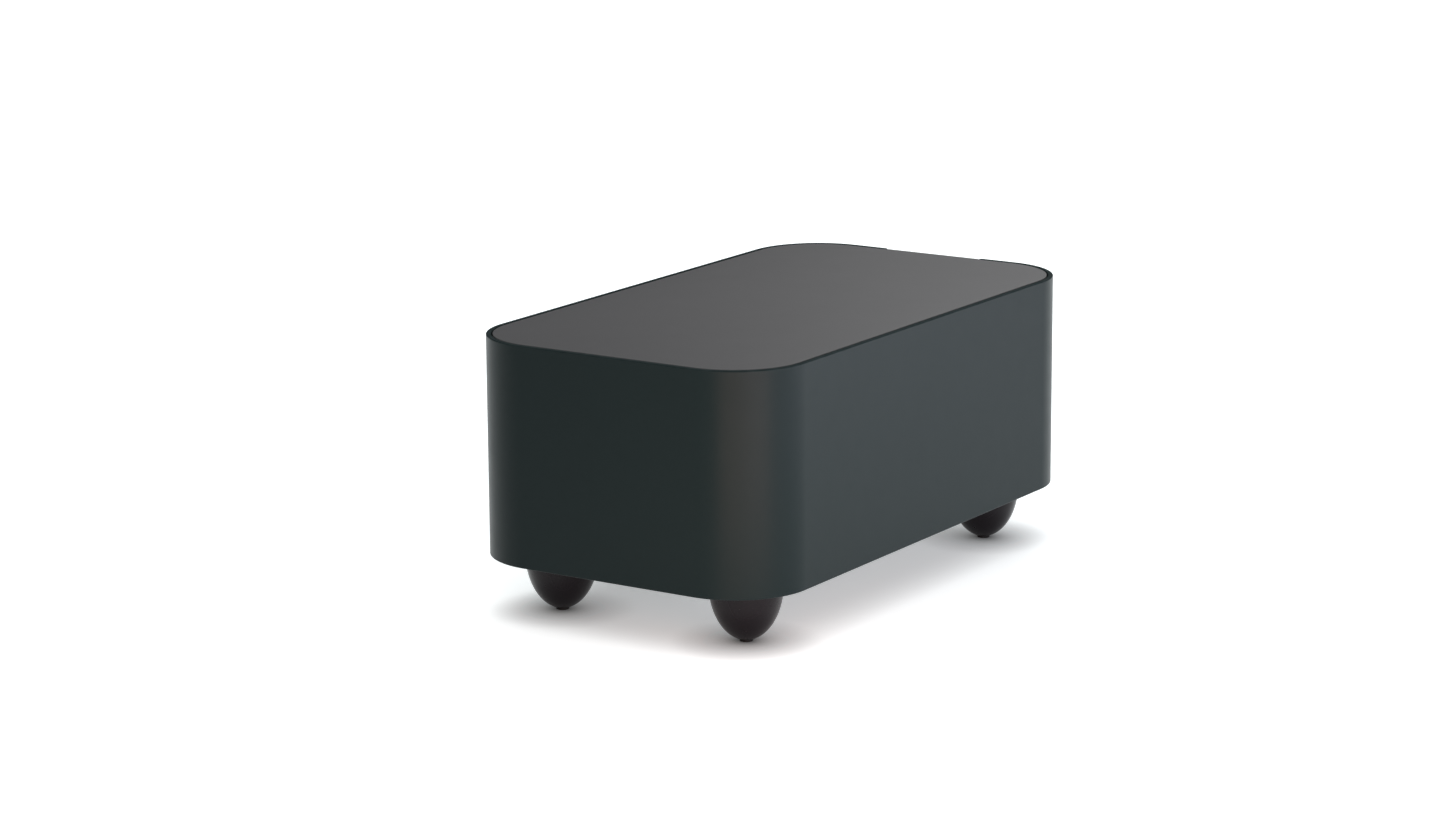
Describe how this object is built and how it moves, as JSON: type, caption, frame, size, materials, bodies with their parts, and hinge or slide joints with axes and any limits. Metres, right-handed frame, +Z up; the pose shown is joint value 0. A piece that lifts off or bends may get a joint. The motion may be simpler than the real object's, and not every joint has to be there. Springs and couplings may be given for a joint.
{
  "type": "moving coil step-up transformer",
  "caption": "Small closed audio transformer box with round corners on four egg-shaped feet, with phono sockets and a ground terminal at the back.",
  "frame": {"origin": "on the floor under the middle of the whole object, sockets included", "axes": "+Z up, +Y towards the rear with the sockets, -Y the short front end, +X to the right as seen from the front"},
  "size_m": [0.136, 0.2536, 0.1085],
  "materials": {
    "casing_paint": "satin dark green-grey powder coat",
    "plate_paint": "satin graphite coat",
    "underside_paint": "matt black coat",
    "foot_lacquer": "dark satin lacquer",
    "pad_rubber": "matt black rubber",
    "insert_brass": "bare brass",
    "pillar_brass": "nickel plated brass",
    "zinc_steel": "bright zinc plate",
    "black_screw": "black oxide",
    "core_steel": "wound strip core",
    "winding_tape": "clear film over enamelled copper",
    "screen_metal": "annealed magnetic alloy",
    "gold_plate": "gold plated",
    "white_ring": "moulded white",
    "red_ring": "moulded red",
    "white_insulator": "white fluoropolymer",
    "lead_sleeve": "black sleeve"
  },
  "bodies": {
    "root": {"casing_sleeve": "casing_paint", "top_plate": "plate_paint", "bottom_plate": "underside_paint", "foot_front_left": "foot_lacquer", "foot_front_right": "foot_lacquer", "foot_rear_left": "foot_lacquer", "foot_rear_right": "foot_lacquer", "foot_pads": "pad_rubber", "foot_inserts": "insert_brass", "foot_screws": "zinc_steel", "foot_washers": "zinc_steel", "pillars": "pillar_brass", "top_plate_studs": "zinc_steel", "pillar_screws": "black_screw", "sleeve_brackets": "zinc_steel", "sleeve_screws": "black_screw", "panel_screws": "black_screw", "left_core": "core_steel", "left_winding": "winding_tape", "left_lower_pad": "pad_rubber", "left_upper_pad": "pad_rubber", "left_screening_can": "screen_metal", "left_clamp_washer": "zinc_steel", "left_grommet": "pad_rubber", "right_core": "core_steel", "right_winding": "winding_tape", "right_lower_pad": "pad_rubber", "right_upper_pad": "pad_rubber", "right_screening_can": "screen_metal", "right_clamp_washer": "zinc_steel", "right_grommet": "pad_rubber", "transformer_bolts": "zinc_steel", "transformer_nut_washers": "zinc_steel", "transformer_nuts": "zinc_steel", "left_input_socket": "gold_plate", "left_input_contact": "gold_plate", "left_input_lead": "lead_sleeve", "left_output_socket": "gold_plate", "left_output_contact": "gold_plate", "left_output_lead": "lead_sleeve", "right_input_socket": "gold_plate", "right_input_contact": "gold_plate", "right_input_lead": "lead_sleeve", "right_output_socket": "gold_plate", "right_output_contact": "gold_plate", "right_output_lead": "lead_sleeve", "left_socket_rings": "white_ring", "right_socket_rings": "red_ring", "socket_insulators": "white_insulator", "socket_washers": "white_insulator", "socket_tags": "gold_plate", "socket_nuts": "gold_plate", "ground_post": "gold_plate", "ground_tag": "gold_plate", "ground_nut": "gold_plate", "ground_lead": "lead_sleeve"},
    "clamp_washer": {"ground_clamp_washer": "gold_plate"},
    "thumb_nut": {"ground_thumb_nut": "gold_plate"}
  },
  "joints": [
    {"name": "clamp_travel", "type": "slide", "parent": "root", "child": "clamp_washer", "axis": [0, 1, 0], "range_m": [0, 0.0049]},
    {"name": "thumb_nut_turn", "type": "hinge", "parent": "clamp_washer", "child": "thumb_nut", "pos_m": [0, 0.1215, 0.046], "axis": [0, 1, 0], "range_deg": [0, 2525]}
  ],
  "couplings": [
    {"joint": "thumb_nut_turn", "follows": "clamp_travel", "rad_per_m": 8976}
  ]
}
